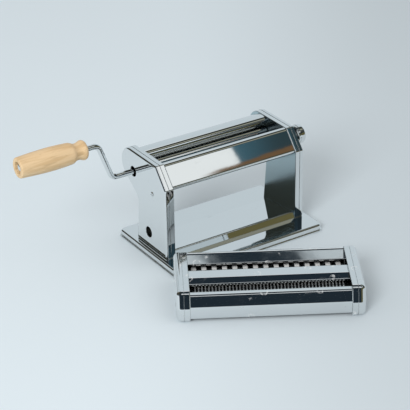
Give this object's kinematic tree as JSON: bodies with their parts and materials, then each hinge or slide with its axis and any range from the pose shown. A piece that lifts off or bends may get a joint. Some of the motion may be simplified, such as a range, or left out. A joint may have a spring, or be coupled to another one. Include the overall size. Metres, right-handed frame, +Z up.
{
  "type": "pasta machine",
  "caption": "Hand-cranked pasta machine with two smooth rollers, a thickness knob, a wooden grip on a bent crank, and a separate cutter head standing in front of it",
  "frame": {"origin": "middle of the base plate's foot rim, on the table", "axes": "+X along the rollers towards the knob's side, +Y to the back, +Z up"},
  "size_m": [0.3149, 0.2796, 0.137],
  "materials": {
    "chrome_shell": "mirror polished",
    "roller_chrome": "polished",
    "plate_steel": "satin",
    "turned_steel": "turned",
    "bearing_brass": "machined",
    "beech": "oiled"
  },
  "bodies": {
    "frame": {"base_plate": "chrome_shell", "base_screws": "turned_steel", "floor_plate": "chrome_shell", "floor_screw": "turned_steel", "left_inner_plate": "plate_steel", "right_inner_plate": "plate_steel", "left_outer_cover": "chrome_shell", "right_outer_cover": "chrome_shell", "cover_screws": "chrome_shell", "cover_posts": "turned_steel", "clamp_socket": "plate_steel", "front_cover": "chrome_shell", "rear_cover": "chrome_shell", "front_scraper": "plate_steel", "rear_scraper": "plate_steel", "tie_rods": "turned_steel", "roller_bushes": "bearing_brass", "guide_pins": "turned_steel"},
    "rear_roller": {"rear_roller": "roller_chrome", "rear_shaft": "turned_steel", "rear_gear": "turned_steel", "rear_clip": "turned_steel"},
    "crank": {"crank_rod": "chrome_shell", "grip_washer": "turned_steel"},
    "grip": {"grip": "beech"},
    "adjuster": {"adjusting_rod": "turned_steel", "left_cam": "bearing_brass", "right_cam": "bearing_brass", "adjusting_knob": "chrome_shell", "knob_stop_pin": "turned_steel", "knob_screw": "turned_steel", "rod_clip": "turned_steel"},
    "carriage": {"left_bearing_plate": "bearing_brass", "right_bearing_plate": "bearing_brass"},
    "front_roller": {"front_roller": "roller_chrome", "front_shaft": "turned_steel", "front_gear": "turned_steel", "front_clip": "turned_steel"},
    "cutter_head": {"head_left_plate": "plate_steel", "head_right_plate": "plate_steel", "head_left_cap": "chrome_shell", "head_right_cap": "chrome_shell", "head_rear_cover": "chrome_shell", "head_middle_cover": "chrome_shell", "head_front_cover": "chrome_shell", "head_tie_rods": "turned_steel", "head_bushes": "bearing_brass", "wide_combs": "plate_steel", "fine_combs": "plate_steel"},
    "wide_cutter_a": {"wide_cutter_a": "roller_chrome", "wide_gear_a": "turned_steel"},
    "wide_cutter_b": {"wide_cutter_b": "roller_chrome", "wide_gear_b": "turned_steel"},
    "fine_cutter_a": {"fine_cutter_a": "roller_chrome", "fine_gear_a": "turned_steel"},
    "fine_cutter_b": {"fine_cutter_b": "roller_chrome", "fine_gear_b": "turned_steel"}
  },
  "joints": [
    {"name": "rear_roller_turn", "type": "hinge", "parent": "frame", "child": "rear_roller", "pos_m": [0, 0.0325, 0.0845], "axis": [1, 0, 0], "continuous": true},
    {"name": "crank_pull", "type": "slide", "parent": "rear_roller", "child": "crank", "axis": [-1, 0, 0], "range_m": [0, 0.03]},
    {"name": "grip_spin", "type": "hinge", "parent": "crank", "child": "grip", "pos_m": [-0.18, 0.0325, 0.1248], "axis": [1, 0, 0], "continuous": true},
    {"name": "knob_turn", "type": "hinge", "parent": "frame", "child": "adjuster", "pos_m": [0, -0.011, 0.0964], "axis": [1, 0, 0], "range_deg": [0, 90]},
    {"name": "bearing_slide", "type": "slide", "parent": "frame", "child": "carriage", "axis": [0, 1, 0], "range_m": [0, 0.0022]},
    {"name": "front_roller_turn", "type": "hinge", "parent": "carriage", "child": "front_roller", "pos_m": [0, 0.003, 0.0845], "axis": [1, 0, 0], "continuous": true},
    {"name": "cutter_head_lift", "type": "slide", "parent": "frame", "child": "cutter_head", "axis": [0, 0, 1], "range_m": [0, 0.1]},
    {"name": "wide_a_turn", "type": "hinge", "parent": "cutter_head", "child": "wide_cutter_a", "pos_m": [-0.02395, -0.11795, 0.0145], "axis": [0.866, -0.5, 0], "continuous": true},
    {"name": "wide_b_turn", "type": "hinge", "parent": "cutter_head", "child": "wide_cutter_b", "pos_m": [-0.03145, -0.13094, 0.0145], "axis": [0.866, -0.5, 0], "continuous": true},
    {"name": "fine_a_turn", "type": "hinge", "parent": "cutter_head", "child": "fine_cutter_a", "pos_m": [-0.05045, -0.16385, 0.0145], "axis": [0.866, -0.5, 0], "continuous": true},
    {"name": "fine_b_turn", "type": "hinge", "parent": "cutter_head", "child": "fine_cutter_b", "pos_m": [-0.04295, -0.15086, 0.0145], "axis": [0.866, -0.5, 0], "continuous": true}
  ],
  "couplings": [
    {"joint": "front_roller_turn", "follows": "rear_roller_turn", "ratio": -1},
    {"joint": "knob_turn", "follows": "bearing_slide", "rad_per_m": 713.9},
    {"joint": "wide_b_turn", "follows": "wide_a_turn", "ratio": -1},
    {"joint": "fine_b_turn", "follows": "fine_a_turn", "ratio": -1}
  ]
}
